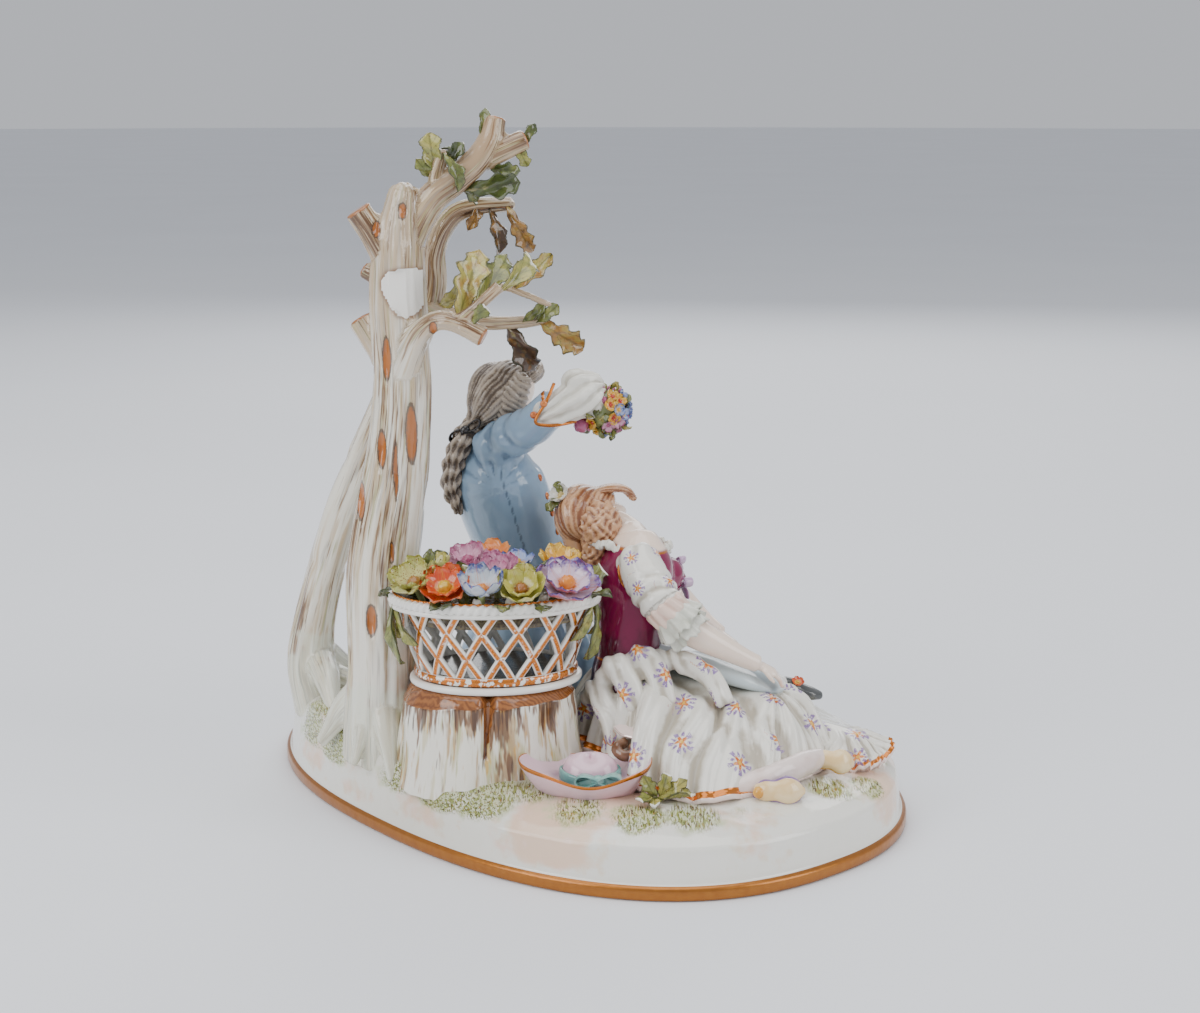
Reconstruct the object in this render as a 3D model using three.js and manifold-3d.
// Porcelain group: a gentleman and a sleeping lady under an old oak, with a basket of flowers.
// Millimetres, +Z up. It is one fired body that rests on the flat underside of its oval plinth.
// The figures are laid out in a frame turned from the plinth's long axis: x to the right,
// y away and z up, seen from behind the tree. The last lines turn that layout onto the plinth.

import * as THREE from 'three';
import { mergeVertices } from 'three/addons/utils/BufferGeometryUtils.js';
import Module from 'manifold-3d';

// Oval plinth
const PLINTH_LENGTH = 296;
const PLINTH_WIDTH = 211;
const OVAL_POWER = 2.35;
const PLINTH_TURN = THREE.MathUtils.degToRad(50);
const GILT_BAND_TOP = 5.5;
const PLINTH_WALL_TOP = 19;
const GROUND_HEIGHT = 26;

// Tree stump under the basket
const STUMP_CENTRE = [-36, -61];
const STUMP_LENGTH = 68;
const STUMP_WIDTH = 56;
const STUMP_TOP = 61;

// Pierced basket
const BASKET_CENTRE = [-33, -60];
const BASKET_TURN = THREE.MathUtils.degToRad(7);
const BASKET_FOOT_LENGTH = 61;
const BASKET_FOOT_WIDTH = 44;
const BASKET_RIM_LENGTH = 82;
const BASKET_RIM_WIDTH = 54;
const BASKET_RIM_TOP = 96.5;
const BASKET_WALL = 2.4;
const BASKET_BAYS = 16;

// Figures
const GENTLEMAN_HEAD = 30;
const LADY_HEAD = 26;

// Leaves
const LEAF_THICKNESS = 1.6;
const NARROW_LEAF = 9;

const wasm = await Module();
wasm.setup();

const TURN = 2 * Math.PI;
const at = (x, y, z) => new THREE.Vector3(x, y, z);
const UP = at(0, 0, 1);
const NEAR = at(0, -1, 0);

// A closed mesh becomes a solid with its faces pointing out.
function solid(geometry) {
  geometry.deleteAttribute('normal');
  geometry.deleteAttribute('uv');
  const welded = mergeVertices(geometry);
  const places = Float32Array.from(welded.getAttribute('position').array);
  const corners = Uint32Array.from(welded.getIndex().array);
  if (signedVolume(places, corners) < 0) {
    for (let face = 0; face < corners.length; face += 3) {
      const second = corners[face + 1];
      corners[face + 1] = corners[face + 2];
      corners[face + 2] = second;
    }
  }
  const mesh = new wasm.Mesh({ numProp: 3, vertProperties: places, triVerts: corners });
  return new wasm.Manifold(mesh);
}

function signedVolume(places, corners) {
  const corner = (index) => at().fromArray(places, 3 * corners[index]);
  let volume = 0;
  for (let face = 0; face < corners.length; face += 3) {
    volume += corner(face).dot(corner(face + 1).cross(corner(face + 2)));
  }
  return volume / 6;
}

// A closed body over rings of equal count, drawn to a point at each end.
function loft(rings, start, end) {
  const sides = rings[0].length;
  const places = [start, ...rings.flat(), end];
  const lastRing = 1 + (rings.length - 1) * sides;
  const corners = [];
  for (let side = 0; side < sides; side++) {
    const next = (side + 1) % sides;
    corners.push(0, 1 + next, 1 + side);
    for (let ring = 1; ring < lastRing; ring += sides) {
      corners.push(ring + side, ring + next, ring + sides + side);
      corners.push(ring + next, ring + sides + next, ring + sides + side);
    }
    corners.push(places.length - 1, lastRing + side, lastRing + next);
  }
  const geometry = new THREE.BufferGeometry().setFromPoints(places);
  geometry.setIndex(corners);
  return solid(geometry);
}

// An oval ring square to a direction, its depth measured along up.
function crossRing(centre, along, up, across, deep, sides, relief) {
  const side = at().crossVectors(along, up).normalize();
  const over = at().crossVectors(side, along).normalize();
  return Array.from({ length: sides }, (_, index) => {
    const angle = (index / sides) * TURN;
    const reach = 0.5 * relief(angle);
    return centre.clone()
      .addScaledVector(side, across * reach * Math.cos(angle))
      .addScaledVector(over, deep * reach * Math.sin(angle));
  });
}

// A bar through stations of [x, y, z, across, deep]. A tip of 0 is sawn flat, and one of 1 is round.
function limb(stations, options = {}) {
  const { sides = 7, steps = 1, up = NEAR, tips = [0.5, 0.5], relief = () => 1 } = options;
  const line = new THREE.CatmullRomCurve3(stations.map(([x, y, z]) => at(x, y, z)), false, 'catmullrom');
  const girth = new THREE.CatmullRomCurve3(
    stations.map(([, , , across, deep = across]) => at(across, deep, 0)), false, 'catmullrom');
  const count = (stations.length - 1) * steps;
  const rings = [];
  const ringAt = (share, shift, shrink) => {
    const along = line.getTangent(share);
    const centre = line.getPoint(share).addScaledVector(along, shift);
    const size = girth.getPoint(share).multiplyScalar(shrink);
    const carve = (angle) => relief(angle, share);
    return crossRing(centre, along, up, size.x, size.y, sides, carve);
  };
  const reachAt = (share, tip) => 0.25 * tip * (girth.getPoint(share).x + girth.getPoint(share).y);
  const startReach = reachAt(0, tips[0]);
  const endReach = reachAt(1, tips[1]);
  if (tips[0] > 0.5) rings.push(ringAt(0, -0.7 * startReach, 0.7));
  for (let step = 0; step <= count; step++) rings.push(ringAt(step / count, 0, 1));
  if (tips[1] > 0.5) rings.push(ringAt(1, 0.7 * endReach, 0.7));
  const start = line.getPoint(0).addScaledVector(line.getTangent(0), -startReach);
  const end = line.getPoint(1).addScaledVector(line.getTangent(1), endReach);
  return loft(rings, start, end);
}

// A rounded lump with half sizes along its own side, up and forward directions.
function lump([x, y, z], [wide, high, long], options = {}) {
  const { forward = NEAR, up = UP, sides = 10, rows = 6, relief = () => 1 } = options;
  const ahead = forward.clone().normalize();
  const side = at().crossVectors(ahead, up).normalize();
  const over = at().crossVectors(side, ahead);
  const place = (a, b, c) => at(x, y, z).addScaledVector(side, a * wide)
    .addScaledVector(over, b * high).addScaledVector(ahead, c * long);
  const rings = [];
  for (let row = 1; row < rows; row++) {
    const fall = (row / rows) * Math.PI;
    rings.push(Array.from({ length: sides }, (_, index) => {
      const angle = (index / sides) * TURN;
      const reach = Math.sin(fall) * relief(angle, row / rows);
      return place(reach * Math.cos(angle), Math.cos(fall), reach * Math.sin(angle));
    }));
  }
  return loft(rings, place(0, 1, 0), place(0, -1, 0));
}

// Everything is fused into one body.
const pieces = [];
const add = (name, ...bodies) => {
  for (const body of bodies) pieces.push({ name, body });
};

// Plinth: a squarish oval with a gilt band, an upright wall and modelled ground on top
function ovalPoint(angle, length, width, power, turn) {
  const squash = (value) => Math.sign(value) * Math.abs(value) ** (2 / power);
  const x = 0.5 * length * squash(Math.cos(angle));
  const y = 0.5 * width * squash(Math.sin(angle));
  return [x * Math.cos(turn) - y * Math.sin(turn), x * Math.sin(turn) + y * Math.cos(turn)];
}

const MOUNDS = [
  { x: -104, y: -8, rise: 13, spread: 22 },
  { x: -82, y: -48, rise: 9, spread: 17 },
  { x: -20, y: 18, rise: 24, spread: 26 },
  { x: -36, y: -58, rise: 7, spread: 26 },
  { x: 40, y: -40, rise: 6, spread: 30 },
];

function ground(x, y) {
  let height = GROUND_HEIGHT;
  for (const mound of MOUNDS) {
    const apart = ((x - mound.x) ** 2 + (y - mound.y) ** 2) / (2 * mound.spread ** 2);
    height += mound.rise * Math.exp(-apart);
  }
  return height + 0.8 * Math.sin(x / 13 + 1) * Math.cos(y / 17);
}

function plinth() {
  const sides = 32;
  const edge = [
    { share: 1, z: 0 },
    { share: 1, z: GILT_BAND_TOP },
    { share: 0.984, z: GILT_BAND_TOP + 1 },
    { share: 0.97, z: PLINTH_WALL_TOP },
  ];
  const rings = edge.map(({ share, z }) => Array.from({ length: sides }, (_, index) => {
    const [x, y] = ovalPoint((index / sides) * TURN, PLINTH_LENGTH, PLINTH_WIDTH, OVAL_POWER, -PLINTH_TURN);
    return at(share * x, share * y, z);
  }));
  const tops = [{ share: 0.94, fall: 3.2 }, { share: 0.88, fall: 0.6 }, { share: 0.72, fall: 0 },
    { share: 0.45, fall: 0 }];
  for (const { share, fall } of tops) {
    rings.push(Array.from({ length: sides }, (_, index) => {
      const [x, y] = ovalPoint((index / sides) * TURN, PLINTH_LENGTH, PLINTH_WIDTH, OVAL_POWER, -PLINTH_TURN);
      return at(share * x, share * y, ground(share * x, share * y) - fall);
    }));
  }
  return loft(rings, at(0, 0, 0), at(0, 0, ground(0, 0)));
}
add('plinth', plinth());

// Tree: two old oak trunks that cross, with sawn stubs, boughs and roots
const bark = (angle, share) => 1 + (0.05 + 0.06 * (1 - share) ** 8) * Math.cos(4 * angle + 0.6);

function tree() {
  const trunk = limb([
    [-80, -44, 24, 32], [-80, -45, 36, 30], [-79, -46, 62, 28], [-78, -46, 103, 29],
    [-72, -45, 142, 25], [-69, -45, 175, 23], [-70, -45, 210, 20.5], [-69, -45, 232, 18], [-67, -45, 249, 11],
  ], { sides: 12, tips: [0, 0.5], relief: bark });
  const secondTrunk = limb([
    [-112, 17, 26, 27], [-117, 16, 46, 22], [-114, 13, 68, 17], [-103, 6, 105, 14.5],
    [-90, 0, 139, 13.5], [-74, -8, 175, 12.5], [-60, -16, 205, 11], [-58, -20, 223, 9.5], [-53, -21, 235, 9],
    [-45, -21, 241, 8.5], [-27, -21, 243, 6],
  ], { sides: 8, tips: [0, 0.5], relief: bark });
  const bough = limb([
    [-67, -45, 228, 13], [-57, -43, 245, 11.5], [-47, -41, 253, 11], [-39, -39, 260, 10.5], [-34, -37, 268, 9.5],
    [-32, -35, 276, 8],
  ], { sides: 7, tips: [0, 0.3] });
  const sideBough = limb([[-41, -39, 258, 8], [-30, -37, 264, 8.5], [-21, -35, 268, 9]],
    { sides: 6, tips: [0, 0.2] });
  const lowBough = limb([
    [-70, -48, 176, 15], [-63, -54, 193, 11], [-57, -59, 200, 8.5], [-51, -63, 202, 7.5], [-44, -65, 200, 7],
    [-36, -67, 196, 7],
  ], { sides: 7, tips: [0, 0.1] });
  const twig = limb([[-47, -64, 201, 5], [-39, -65, 207, 4.5], [-30, -65, 215, 5]],
    { sides: 5, tips: [0, 0.2] });
  const rearBough = limb([
    [-60, -17, 203, 9], [-49, -13, 197, 7], [-35, -11, 195, 6], [-19, -11, 196, 5], [-13, -11, 198, 4],
  ], { sides: 6, tips: [0, 0.5] });
  const shoot = limb([[-56, -43, 244, 6], [-55, -43, 254, 6], [-52, -44, 264, 5]],
    { sides: 6, tips: [0, 0.2] });
  const stubs = [
    limb([[-72, -45, 222, 13], [-84, -48, 242, 10]], { sides: 7, tips: [0, 0] }),
    limb([[-74, -45, 214, 7], [-83, -43, 219, 7]], { sides: 6, tips: [0, 0] }),
    limb([[-73, -44, 182, 11], [-85, -41, 200, 9]], { sides: 7, tips: [0, 0] }),
  ];
  return [trunk, secondTrunk, bough, sideBough, lowBough, twig, rearBough, shoot, ...stubs];
}

// A root runs from a trunk down into the ground, heading given as a turn from +x.
function root([x, y], heading, reach, height, width) {
  const way = THREE.MathUtils.degToRad(heading);
  const spot = (share) => [x + share * reach * Math.cos(way), y + share * reach * Math.sin(way)];
  const [midX, midY] = spot(0.6);
  const [endX, endY] = spot(1);
  return limb([
    [x, y, height, width, width],
    [midX, midY, ground(midX, midY) + 0.25 * (height - GROUND_HEIGHT), 0.9 * width, width],
    [endX, endY, ground(endX, endY) - 3, 0.5 * width, 0.6 * width],
  ], { sides: 5, up: UP, tips: [0, 0.5] });
}

const TRUNK_FOOT = [-80, -44];
const SECOND_FOOT = [-114, 17];
add('trunk', ...tree());
add('trunk',
  root(TRUNK_FOOT, -75, 20, 50, 12), root(TRUNK_FOOT, 160, 24, 54, 14), root(TRUNK_FOOT, 80, 32, 50, 14),
  root(SECOND_FOOT, -72, 34, 52, 13), root(SECOND_FOOT, 40, 32, 52, 13));

// Where a bough has broken away the trunk has a flat unglazed scar.
const SCAR_CENTRE = [-66, -55.6, 212];
const SCAR_ACROSS = 17;
const SCAR_DEPTH = 8;

function scarCut() {
  const disc = new THREE.CylinderGeometry(0.5 * SCAR_ACROSS, 0.5 * SCAR_ACROSS, SCAR_DEPTH, 12);
  disc.translate(SCAR_CENTRE[0], SCAR_CENTRE[1] - 0.5 * SCAR_DEPTH + 1.6, SCAR_CENTRE[2]);
  return solid(disc);
}

// An oak leaf lies from its stalk to its tip, lobed along both edges and bowed along the middle.
// A narrow one has fewer lobes.
function leaf(stalk, tip, width, options = {}) {
  const { facing = NEAR, bow = 0.12, lobes = width > NARROW_LEAF ? 2 : 1 } = options;
  const start = at(...stalk);
  const run = at(...tip).sub(start);
  const side = at().crossVectors(run, facing).normalize();
  const over = at().crossVectors(side, run).normalize();
  const stops = 2 * lobes + 1;
  const rings = [];
  for (let stop = 1; stop < stops; stop++) {
    const share = stop / stops;
    const lobe = stop % 2 ? 1 : 0.66;
    const half = 0.5 * width * lobe * Math.sin(Math.PI * (0.2 + 0.7 * share));
    const lift = bow * run.length() * 4 * share * (1 - share);
    const rib = start.clone().addScaledVector(run, share).addScaledVector(over, lift);
    const edge = (sign) => rib.clone().addScaledVector(side, sign * half).addScaledVector(over, 0.2 * half);
    rings.push([
      edge(1),
      rib.clone().addScaledVector(over, 0.5 * LEAF_THICKNESS),
      edge(-1),
      rib.clone().addScaledVector(over, -0.5 * LEAF_THICKNESS),
    ]);
  }
  return loft(rings, start, at(...tip));
}

const SIDEWAYS = at(0.7, -0.7, 0.1);
add('leaf',
  leaf([-46, -60, 201], [-38, -50, 227], 15, { lobes: 3 }),
  leaf([-40, -64, 205], [-28, -42, 224], 12),
  leaf([-31, -64, 212], [-20, -38, 221], 12, { bow: 0.25 }),
  leaf([-27, -30, 210], [-11, -29, 224], 9),
  leaf([-37, -20, 243], [-32, -27, 225], 9, { facing: SIDEWAYS }),
  leaf([-29, -22, 243], [-19, -20, 225], 9, { bow: 0.3 }),
  leaf([-45, -40, 249], [-23, -36, 252], 11),
  leaf([-36, -38, 258], [-23, -35, 257], 6),
  leaf([-55, -43, 256], [-57, -44, 270], 11),
  leaf([-55, -42, 263], [-44, -36, 263], 8, { facing: UP }),
  leaf([-53, -45, 264], [-46, -48, 249], 8, { facing: SIDEWAYS, bow: 0.2 }),
  leaf([-37, -36, 268], [-36, -34, 280], 5),
  leaf([-19, -12, 195], [-9, -10, 202], 8, { bow: 0.25 }),
  leaf([-17, -11, 196], [0, -8, 185], 13),
  leaf([-30, -11, 195], [-19, -2, 176], 13),
  leaf([-56, -18, 202], [-31, -30, 213], 14, { facing: at(0.2, -1, 0.5) }));
add('stalk', limb([[-34, -30, 212, 3.2], [-26, -30, 210, 3], [-12, -28, 204, 2.6]], { sides: 5 }));

// Stump: a sawn butt with fluted bark, cleft at the front
function stump() {
  const [x, y] = STUMP_CENTRE;
  const flutes = (angle, share) => 1 + (0.05 - 0.02 * share) * Math.cos(8 * angle);
  return limb([
    [x + 1, y + 3, GROUND_HEIGHT - 4, STUMP_LENGTH * 1.12, STUMP_WIDTH * 1.08],
    [x, y + 2, GROUND_HEIGHT + 9, STUMP_LENGTH * 1.04, STUMP_WIDTH * 1.02],
    [x, y, STUMP_TOP - 9, STUMP_LENGTH * 0.99, STUMP_WIDTH * 0.97],
    [x, y, STUMP_TOP, STUMP_LENGTH, STUMP_WIDTH],
  ], { sides: 16, tips: [0, 0], relief: flutes });
}
add('stump', stump());

// Basket: a pierced oval bowl with a rope rim, closed under the flowers by a bed of moss
function basketRing(length, width, z) {
  return Array.from({ length: BASKET_BAYS }, (_, bay) => {
    const [x, y] = ovalPoint(((bay + 0.5) / BASKET_BAYS) * TURN, length, width, 2, BASKET_TURN);
    return at(BASKET_CENTRE[0] + x, BASKET_CENTRE[1] + y, z);
  });
}

const BASKET_FLOOR = STUMP_TOP + 5;
const BASKET_WALL_TOP = BASKET_RIM_TOP - 4;
const BASKET_BED = BASKET_RIM_TOP - 7;

// Length, width and height of the wall at a share of its rise from the foot to the rim
function basketWall(share) {
  return [
    BASKET_FOOT_LENGTH + (BASKET_RIM_LENGTH - 5 - BASKET_FOOT_LENGTH) * share,
    BASKET_FOOT_WIDTH + (BASKET_RIM_WIDTH - 5 - BASKET_FOOT_WIDTH) * share,
    BASKET_FLOOR + (BASKET_WALL_TOP - BASKET_FLOOR) * share,
  ];
}

// A place on the wall: bays around, share of the rise, and depth in from the outer face
function basketPlace(bays, share, depth) {
  const [length, width, z] = basketWall(share);
  const angle = (bays / BASKET_BAYS) * TURN;
  const [x, y] = ovalPoint(angle, length - 2 * depth, width - 2 * depth, 2, BASKET_TURN);
  return at(BASKET_CENTRE[0] + x, BASKET_CENTRE[1] + y, z);
}

// The lattice wall of one bay, as triangles of [bays, share] corners round an upper and a lower opening.
const UPPER = { share: 0.7, wide: 0.33, tall: 0.2 };
const LOWER = { share: 0.32, wide: 0.3, tall: 0.18 };

function latticeBay(bay) {
  const opening = ({ share, wide, tall }, middle) => ({
    left: [middle - wide, share],
    right: [middle + wide, share],
    top: [middle, share + tall],
    bottom: [middle, share - tall],
  });
  const upper = opening(UPPER, bay);
  const nextUpper = opening(UPPER, bay + 1);
  const lower = opening(LOWER, bay + 0.5);
  const lastLower = opening(LOWER, bay - 0.5);
  const rim = [bay + 0.5, 1];
  const lastRim = [bay - 0.5, 1];
  const foot = [bay, 0];
  const nextFoot = [bay + 1, 0];
  const faces = [
    [lastRim, upper.top, rim], [lastRim, upper.left, upper.top], [rim, upper.top, upper.right],
    [rim, upper.right, nextUpper.left], [upper.right, lower.top, nextUpper.left],
    [upper.right, upper.bottom, lower.top], [nextUpper.left, lower.top, nextUpper.bottom],
    [upper.bottom, lower.left, lower.top], [upper.bottom, lastLower.top, lastLower.right],
    [upper.bottom, lastLower.right, lower.left], [lastLower.right, foot, lower.left],
    [lower.left, foot, lower.bottom], [lower.bottom, foot, nextFoot], [lower.bottom, nextFoot, lower.right],
  ];
  return { faces, openings: [upper, lower] };
}

function basketBowl() {
  const places = [];
  const triangle = (...corners) => places.push(...corners);
  const quad = (a, b, c, d) => {
    triangle(a, b, c);
    triangle(a, c, d);
  };
  for (let bay = 0; bay < BASKET_BAYS; bay++) {
    const { faces, openings } = latticeBay(bay);
    const outer = ([bays, share]) => basketPlace(bays % BASKET_BAYS, share, 0);
    const inner = ([bays, share]) => basketPlace(bays % BASKET_BAYS, share, BASKET_WALL);
    for (const [a, b, c] of faces) {
      triangle(outer(a), outer(b), outer(c));
      triangle(inner(c), inner(b), inner(a));
    }
    for (const { left, right, top, bottom } of openings) {
      const loop = [left, bottom, right, top];
      loop.forEach((corner, index) => {
        const next = loop[(index + 1) % loop.length];
        quad(outer(corner), outer(next), inner(next), inner(corner));
      });
    }
    const rim = (bays, grow, z) => {
      const [x, y] = ovalPoint((bays / BASKET_BAYS) * TURN, BASKET_RIM_LENGTH + grow, BASKET_RIM_WIDTH + grow,
        2, BASKET_TURN);
      return at(BASKET_CENTRE[0] + x, BASKET_CENTRE[1] + y, z);
    };
    const column = (bays) => [basketPlace(bays, 1, 0), rim(bays, 0, BASKET_WALL_TOP + 1.6),
      rim(bays, -3, BASKET_RIM_TOP), basketPlace(bays, 1, BASKET_WALL)];
    const near = column((bay - 0.5 + BASKET_BAYS) % BASKET_BAYS);
    const far = column(bay + 0.5);
    for (let step = 0; step < 3; step++) quad(near[step], far[step], far[step + 1], near[step + 1]);
    const foot = (bays, grow, z) => {
      const [x, y] = ovalPoint((bays / BASKET_BAYS) * TURN, BASKET_FOOT_LENGTH + grow,
        BASKET_FOOT_WIDTH + grow, 2, BASKET_TURN);
      return at(BASKET_CENTRE[0] + x, BASKET_CENTRE[1] + y, z);
    };
    const middle = at(...BASKET_CENTRE, STUMP_TOP - 1);
    const floor = at(...BASKET_CENTRE, BASKET_FLOOR);
    const base = (bays) => [basketPlace(bays % BASKET_BAYS, 0, 0), foot(bays % BASKET_BAYS, 3, STUMP_TOP + 2),
      foot(bays % BASKET_BAYS, 0, STUMP_TOP - 1)];
    const here = base(bay);
    const there = base(bay + 1);
    for (let step = 0; step < 2; step++) quad(here[step + 1], there[step + 1], there[step], here[step]);
    triangle(here[2], middle, there[2]);
    triangle(basketPlace(bay, 0, BASKET_WALL), basketPlace((bay + 1) % BASKET_BAYS, 0, BASKET_WALL), floor);
  }
  const geometry = new THREE.BufferGeometry().setFromPoints(places);
  return solid(geometry);
}

function basket() {
  const [length, width] = basketWall(0.88);
  const [x, y] = BASKET_CENTRE;
  const bed = loft([BASKET_BED, BASKET_BED + 3].map((z) => basketRing(length - 2, width - 2, z)),
    at(x, y, BASKET_BED), at(x, y, BASKET_BED + 5));
  return [basketBowl(), bed];
}
add('basket', ...basket());

// A flower is a cup of petals round a raised heart, on a stalk that runs back along its axis.
function flower([x, y, z], radius, petals, facing = at(0, -0.35, 1), cup = 0.35) {
  const axis = facing.clone().normalize();
  const sides = 2 * petals;
  const petal = (angle) => 1 + 0.12 * Math.cos(petals * angle);
  const centre = at(x, y, z);
  const level = (rise) => centre.clone().addScaledVector(axis, rise * radius);
  const ringAt = (rise, reach, relief) => crossRing(level(rise), axis, at(0.1, 1, 0.2),
    2 * reach * radius, 2 * reach * radius, sides, relief);
  const rings = [ringAt(0, 0.42, () => 1), ringAt(cup, 1, petal), ringAt(-0.5, 0.28, () => 1)];
  return loft(rings, level(0.32), level(-2));
}

add('flower',
  flower([-63, -72, 102], 9.5, 4, at(-0.3, -0.5, 1)),
  flower([-51, -79, 102], 9.5, 5, at(-0.1, -0.7, 1)),
  flower([-37, -83, 103], 8.5, 4, at(0, -0.3, 1), 0.7),
  flower([-22, -82, 102], 9, 4, at(0, -0.7, 1), 0.5),
  flower([-5, -74, 103], 11.5, 5, at(0.2, -0.5, 1)),
  flower([-32, -66, 105], 8, 4, at(0, -0.4, 1), 0.6),
  flower([-25, -51, 105], 7, 4),
  flower([-42, -49, 106], 7.5, 4),
  flower([-8, -56, 106], 8.5, 4, at(0.2, 0.2, 1)),
  flower([-55, -57, 103], 8, 4, at(-0.3, 0.2, 1)));
add('basket leaf',
  leaf([-8, -62, 90], [12, -60, 105], 12, { facing: at(-0.3, -1, 0.5) }),
  leaf([-60, -62, 90], [-59, -60, 113], 7),
  leaf([-58, -62, 91], [-75, -70, 98], 10, { facing: UP }),
  leaf([-45, -74, 90], [-40, -68, 110], 8),
  leaf([-30, -56, 91], [-15, -66, 104], 10, { facing: at(0, -0.6, 1) }),
  leaf([-50, -48, 90], [-58, -38, 106], 9, { facing: UP }));
add('basket handle',
  leaf([2, -65, 94], [-3, -65, 70], 8, { facing: at(1, -0.6, 0) }),
  leaf([-69, -70, 94], [-62, -71, 72], 8, { facing: at(-1, -0.6, 0) }));

// A head on plain school proportions, in shares of its height from chin to crown
const HEAD_SECTIONS = [
  { rise: 0.03, front: 0.32, back: 0.02, half: 0.15 },
  { rise: 0.12, front: 0.41, back: -0.16, half: 0.23 },
  { rise: 0.24, front: 0.42, back: -0.3, half: 0.28 },
  { rise: 0.36, front: 0.42, back: -0.4, half: 0.31 },
  { rise: 0.5, front: 0.4, back: -0.46, half: 0.34 },
  { rise: 0.64, front: 0.43, back: -0.48, half: 0.345 },
  { rise: 0.78, front: 0.4, back: -0.45, half: 0.32 },
  { rise: 0.91, front: 0.25, back: -0.32, half: 0.23 },
];

function head([x, y, z], facing, crown, height) {
  const sides = 10;
  const up = crown.clone().normalize();
  const ahead = facing.clone().addScaledVector(up, -facing.dot(up)).normalize();
  const side = at().crossVectors(ahead, up);
  const chin = at(x, y, z).addScaledVector(up, -0.5 * height);
  const rings = HEAD_SECTIONS.map(({ rise, front, back, half }) => {
    const nose = Math.max(0, 0.13 * (1 - Math.abs(rise - 0.37) / 0.14));
    const middle = 0.5 * (front + back);
    return Array.from({ length: sides }, (_, index) => {
      const angle = (index / sides) * TURN;
      const forward = middle + (front - middle) * Math.cos(angle) + (index === 0 ? nose : 0);
      return chin.clone().addScaledVector(up, rise * height)
        .addScaledVector(ahead, forward * height)
        .addScaledVector(side, half * Math.sin(angle) * height);
    });
  });
  const lowest = chin.clone().addScaledVector(ahead, 0.2 * height);
  return loft(rings, lowest, chin.clone().addScaledVector(up, height));
}

// Gentleman: he sits on the bank under the tree and turns from it, one arm raised over the lady
const HIS_FACING = at(0.88, 0.47, 0);
const HIS_HEAD = [-31, 9, 162];

function gentleman() {
  const torso = limb([
    [-16, 17, 50, 46, 38], [-21, 13, 74, 43, 36], [-26, 11, 97, 43, 37], [-32, 7, 117, 47, 38],
    [-36, 5, 130, 48, 35], [-37, 4, 141, 40, 24],
  ], { sides: 9, up: HIS_FACING, tips: [0, 0.5] });
  const neck = limb([[-37, 4, 142, 14], [-33, 8, 152, 13]], { up: HIS_FACING, tips: [0, 0] });
  const raisedArm = limb([
    [-37, -5, 143, 18], [-27, -14, 150, 17], [-16, -22, 157, 15.5], [-9, -25, 162, 18],
  ], { sides: 8, tips: [0.5, 0], up: UP });
  const lace = limb([[-11, -25, 161, 12], [-5, -26, 166, 17, 13], [2, -24, 168, 11]]);
  const raisedHand = limb([[0, -24, 166, 9], [9, -20, 161, 8]], { sides: 5 });
  const otherArm = limb([
    [-45, 20, 137, 19], [-46, 35, 121, 16], [-34, 40, 108, 15], [-14, 29, 101, 13],
  ], { up: UP });
  const otherHand = limb([[-16, 30, 102, 10], [-3, 20, 101, 8], [6, 8, 101, 9, 7], [15, -6, 98, 8, 5]],
    { sides: 6, up: UP });
  const backSkirt = limb([[-22, 8, 78, 40, 34], [-28, 7, 62, 42, 34], [-36, 8, 44, 44, 30]],
    { sides: 8, up: HIS_FACING, tips: [0, 0.3] });
  const sideSkirt = limb([[-19, 2, 84, 30, 20], [-13, 0, 62, 32, 20], [-6, 0, 42, 34, 16]],
    { tips: [0, 0.3] });
  return [torso, neck, raisedArm, lace, raisedHand, otherArm, otherHand, backSkirt, sideSkirt];
}

function legs() {
  const nearLeg = limb([[-10, 6, 56, 24], [18, 17, 50, 20], [44, 27, 42, 16], [64, 27, 38, 13], [88, 26, 31, 9]],
    { up: UP });
  const nearShoe = limb([[84, 26, 30, 9, 9], [104, 28, 27, 9, 6]], { sides: 6, up: UP });
  const farThigh = limb([[-22, 28, 58, 24], [0, 46, 64, 20], [20, 60, 67, 16]], { up: UP });
  const farCalf = limb([[20, 60, 66, 14], [28, 68, 52, 14], [31, 74, 34, 9]]);
  const farShoe = limb([[28, 72, 31, 9, 9], [45, 82, 28, 9, 6]], { sides: 6, up: UP });
  return [nearLeg, nearShoe, farThigh, farCalf, farShoe];
}

add('coat', ...gentleman());
add('breeches', ...legs());
const HIS_GAZE = at(0.62, 0.68, -0.38);
add('his head', head(HIS_HEAD, HIS_GAZE, at(0.15, 0.2, 0.95), GENTLEMAN_HEAD));
add('his hair',
  lump([-33, 6, 164], [12, 12.5, 12.5], { forward: HIS_GAZE, sides: 9, rows: 6 }),
  limb([[-41, 0, 153, 8], [-49, -2, 147, 9, 7], [-53, -4, 134, 7, 6], [-52, -5, 118, 5, 5]], { sides: 5 }));
const bumpy = (angle, share) => 1 + 0.12 * Math.cos(5 * angle + 9 * share);
add('posy', lump([9, -20, 159], [11, 10.5, 11], { sides: 9, rows: 6, relief: bumpy }));

// Lady: she sleeps against him with her skirt spread over the ground
const HER_FACING = at(0.85, 0.5, 0.1);
const HER_GAZE = at(0.5, 0.65, 0.58);
const HER_CROWN = at(-0.87, 0.32, 0.38);
const HER_HEAD = [4, -20, 118];

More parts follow.
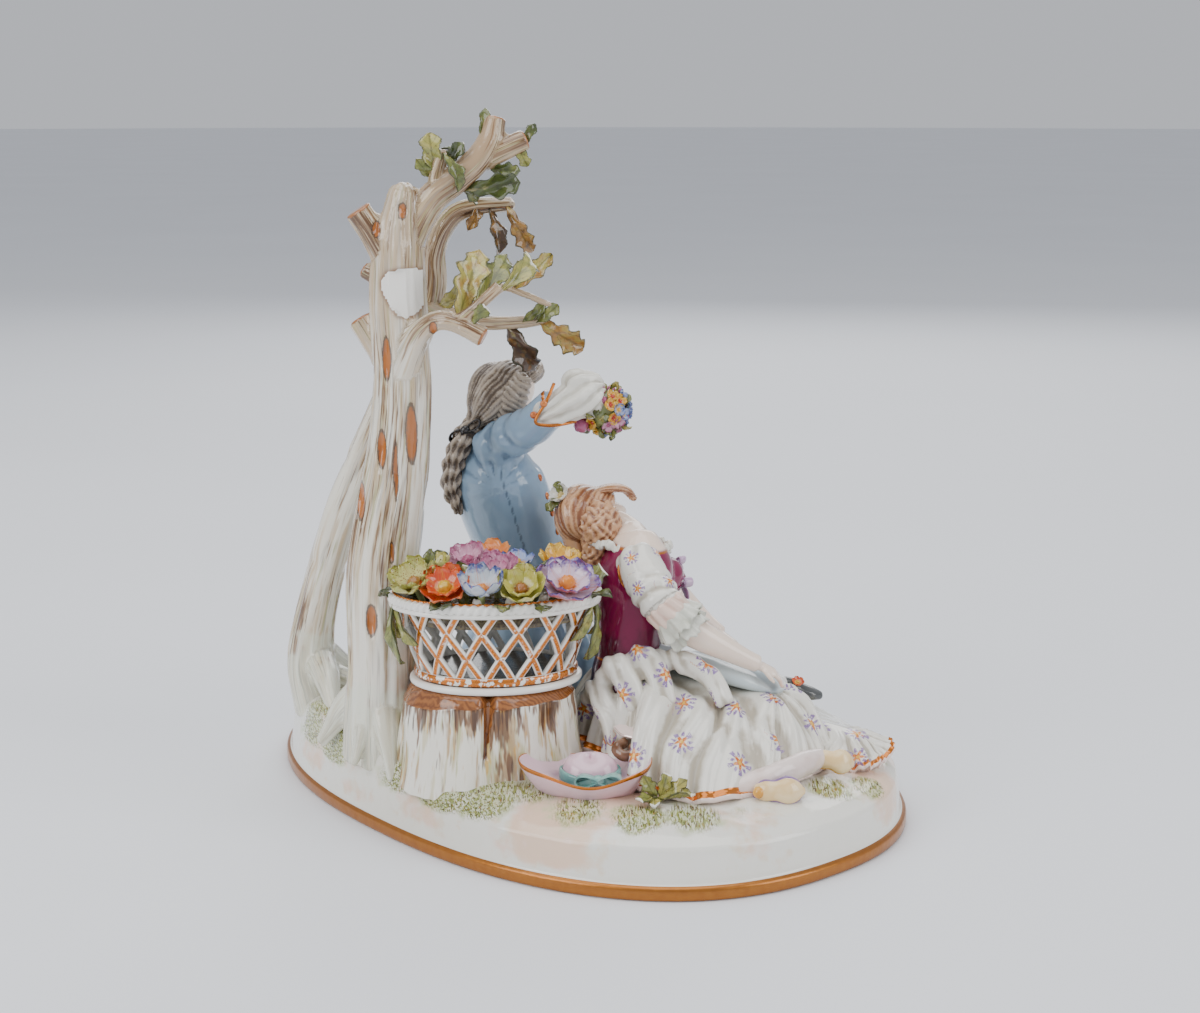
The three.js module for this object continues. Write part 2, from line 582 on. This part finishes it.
function lady() {
  const bodice = limb([
    [19, -47, 54, 36, 32], [19, -46, 69, 28, 26], [20, -40, 84, 34, 29], [21, -34, 97, 40, 31],
    [20, -29, 106, 34, 23],
  ], { sides: 9, up: HER_FACING, tips: [0, 0.5] });
  const bust = [
    lump([35, -30, 96], [8, 8, 8], { sides: 7, rows: 4 }),
    lump([29, -18, 98], [8, 8, 8], { sides: 7, rows: 4 }),
  ];
  const neck = limb([[21, -28, 108, 16, 14], [15, -24, 115, 10], [9, -21, 117, 10]], { up: HER_FACING });
  const sleeve = limb([[21, -46, 107, 16], [26, -54, 99, 17], [31, -60, 91, 16], [36, -61, 85, 15]],
    { sides: 8, tips: [0.5, 0] });
  const frill = limb([[33, -61, 88, 15], [41, -61, 83, 20, 17]], { sides: 8, tips: [0, 0] });
  const forearm = limb([[36, -61, 85, 12], [46, -61, 78.5, 11.5], [64, -59, 69.5, 7], [72, -58, 65, 9, 5],
    [79, -57, 60.5, 7, 4], [81, -56, 57, 5, 3.5]], { sides: 6, up: UP });
  const otherArm = limb([[14, -12, 102, 15], [25, -2, 92, 15], [36, 2, 82, 13], [48, -6, 72, 9], [58, -16, 66, 6],
    [66, -24, 63, 8, 4]], { sides: 6, up: UP });
  return [bodice, ...bust, neck, sleeve, frill, forearm, otherArm];
}

add('bodice', ...lady());
add('her head', head(HER_HEAD, HER_GAZE, HER_CROWN, LADY_HEAD));
add('her hair',
  lump([1, -23, 119], [11, 11.5, 10.5], { forward: HER_GAZE, up: HER_CROWN, sides: 9, rows: 5 }),
  lump([6, -31, 116], [8, 9, 6], { sides: 8, rows: 5 }),
  limb([[4, -24, 125, 6, 4], [14, -22, 128, 7, 3.4], [22, -20, 125, 6, 3]], { sides: 5, up: UP }));

// Skirt: cloth falls from a ridge over her lap to a hem on the ground, in folds that deepen outward
function spread(ridgeStart, ridgeEnd, hem, options) {
  const { columns = 28, folds = 9, foldDepth = 3.2, lip = 3, fullness = 2.3 } = options;
  const start = at(...ridgeStart);
  const run = at(...ridgeEnd).sub(start);
  const edge = new THREE.CatmullRomCurve3(hem.map(([x, y]) => at(x, y, 0)), true, 'catmullrom');
  const shares = [0.15, 0.45, 0.75, 1];
  const rings = shares.map((share) => Array.from({ length: columns }, (_, column) => {
    const around = column / columns;
    const foot = edge.getPoint(around);
    const along = THREE.MathUtils.clamp(
      ((foot.x - start.x) * run.x + (foot.y - start.y) * run.y) / (run.x ** 2 + run.y ** 2), 0, 1);
    const crest = start.clone().addScaledVector(run, along);
    const footZ = ground(foot.x, foot.y) + lip;
    const wave = share * foldDepth * Math.sin(folds * TURN * around + 3 * share);
    const out = at(foot.x - crest.x, foot.y - crest.y, 0).normalize();
    return at(crest.x + (foot.x - crest.x) * share, crest.y + (foot.y - crest.y) * share,
      footZ + (crest.z - footZ) * (1 - share ** fullness) + (share < 1 ? 0.7 * wave : 0))
      .addScaledVector(out, share > 0.5 ? 0.5 * wave : 0);
  }));
  rings.push(rings[rings.length - 1].map((place) => at(place.x, place.y, GROUND_HEIGHT - 4)));
  const middle = start.clone().addScaledVector(run, 0.5);
  return loft(rings, middle, at(middle.x, middle.y, GROUND_HEIGHT - 4));
}

const SKIRT_HEM = [
  [-3, -45], [6, -62], [14, -78], [22, -95], [34, -103], [46, -106], [58, -102], [71, -97], [80, -88],
  [89, -78], [97, -64], [101, -48], [98, -32], [86, -18], [66, -8], [44, -2], [22, -2], [6, -12], [-4, -28],
];
const TRAIN_HEM = [[94, -58], [105, -68], [115, -66], [123, -54], [124, -42], [116, -30], [102, -22], [90, -30]];

add('skirt',
  spread([18, -46, 64], [74, -48, 54], SKIRT_HEM, {}),
  spread([92, -46, 40], [108, -44, 35], TRAIN_HEM, { columns: 20, folds: 6, foldDepth: 2, lip: 2, fullness: 1.6 }),
  limb([[17, -72, 47, 10, 5], [22, -79, 40, 11, 5], [24, -84, 34, 10, 4]], { sides: 7 }));
add('apron', limb([[34, -40, 68, 34, 10], [54, -42, 63, 38, 9], [74, -48, 55, 26, 8]], { sides: 8, up: UP }));
add('petticoat', limb([[60, -96, 29, 8], [74, -92, 32, 9], [87, -82, 33, 8]], { sides: 7, up: UP }));
add('her shoe',
  limb([[69, -98, 28.5, 9, 8], [77, -100, 28, 11, 9], [86, -99, 27, 8, 6]], { sides: 7 }),
  limb([[94, -72, 31, 8, 8], [101, -73, 30.5, 10, 8], [106, -73, 29, 8, 6]], { sides: 7 }));

// Hat: a dished brim drawn to a point on one side, round a domed crown with a ribbon
const HAT_CENTRE = [4, -93];
const HAT_LENGTH = 47;
const HAT_WIDTH = 37;

function hat() {
  const sides = 14;
  const [x, y] = HAT_CENTRE;
  const base = ground(x, y);
  const brim = (reach, rise) => Array.from({ length: sides }, (_, index) => {
    const angle = (index / sides) * TURN;
    const point = 1 + 0.16 * Math.max(0, -Math.cos(angle)) ** 6;
    const lift = rise * (1 + 0.25 * Math.cos(2 * angle));
    return at(x + 0.5 * HAT_LENGTH * reach * point * Math.cos(angle),
      y + 0.5 * HAT_WIDTH * reach * Math.sin(angle), base + lift);
  });
  const rings = [
    brim(0.26, 12), brim(0.44, 9), brim(0.5, 3), brim(0.92, 6.5), brim(1, 8.5), brim(0.98, 5.5), brim(0.7, -1),
  ];
  return loft(rings, at(x, y, base + 12.5), at(x, y, base - 4));
}
add('hat', hat());
add('hat ribbon', lump([8, -104, 32], [6, 3, 4], { sides: 7, rows: 4 }));
add('sprig',
  leaf([30, -104, 26], [23, -103, 35], 7),
  leaf([28, -104, 27], [44, -111, 29], 8, { facing: UP }),
  leaf([30, -106, 26], [21, -112, 28], 8, { facing: UP }));

// Glazed porcelain, one body
let body = pieces[0].body;
for (const piece of pieces.slice(1)) body = body.add(piece.body);
body = body.subtract(scarCut());

const { vertProperties, triVerts } = body.getMesh();
const geometry = new THREE.BufferGeometry();
geometry.setAttribute('position', new THREE.BufferAttribute(Float32Array.from(vertProperties), 3));
geometry.setIndex(new THREE.BufferAttribute(Uint32Array.from(triVerts), 1));
geometry.computeVertexNormals();

const porcelain = new THREE.MeshStandardMaterial({ color: 0xefece4, roughness: 0.12, metalness: 0 });
const figureGroup = new THREE.Mesh(geometry, porcelain);
figureGroup.name = 'figure_group';
figureGroup.rotation.z = PLINTH_TURN;

const group = new THREE.Group();
group.add(figureGroup);
export default group;
